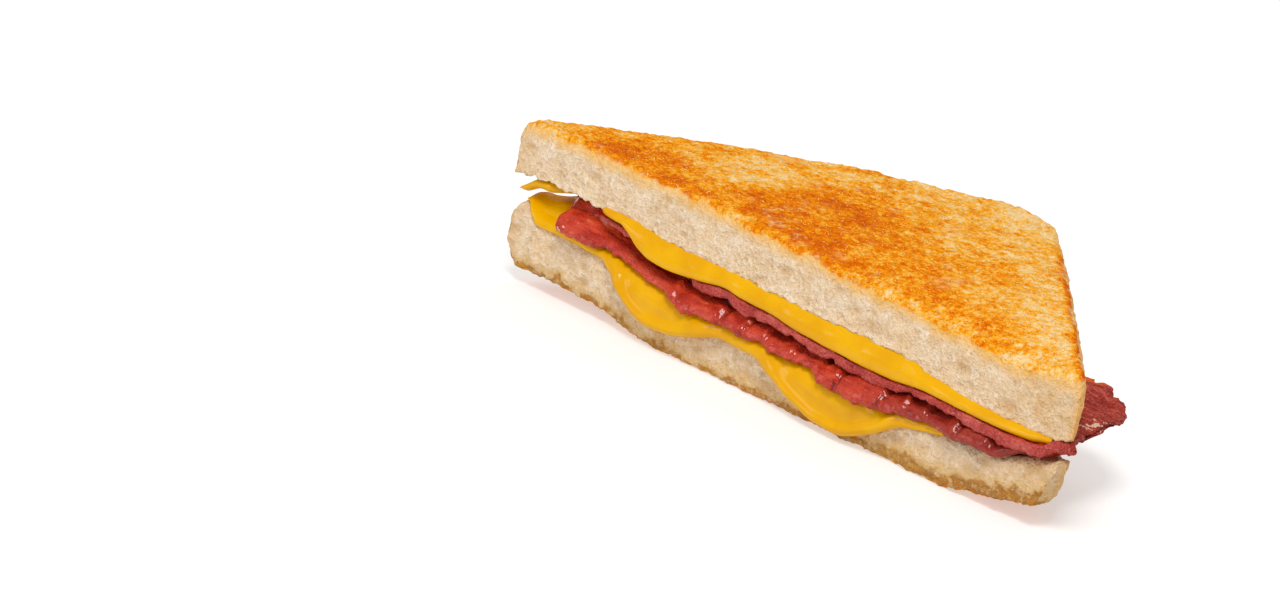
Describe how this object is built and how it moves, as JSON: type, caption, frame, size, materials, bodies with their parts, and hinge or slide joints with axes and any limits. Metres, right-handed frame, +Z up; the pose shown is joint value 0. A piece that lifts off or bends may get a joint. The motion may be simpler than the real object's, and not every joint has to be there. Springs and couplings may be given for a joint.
{
  "type": "toasted sandwich half",
  "caption": "Grilled cheese sandwich half: a triangle of golden toast over melted cheese and rashers of cured meat, lying flat on its lower slice.",
  "frame": {"origin": "on the flat underside of the lower slice, below the middle of the triangle, a third of the way back from the cut", "axes": "+X along the long cut face, +Y back from the cut towards the square corner, +Z up through the layers"},
  "size_m": [0.1573, 0.0756, 0.0348],
  "materials": {
    "toast": "matt, porous bread with a toasted crust",
    "cheese": "smooth and slightly glossy, melted",
    "meat": "moist, cooked cured meat"
  },
  "bodies": {
    "root": {"toast_lower": "toast", "cheese_lower": "cheese", "meat_lower": "meat", "meat_upper": "meat", "cheese_upper": "cheese", "toast_upper": "toast"}
  },
  "joints": []
}
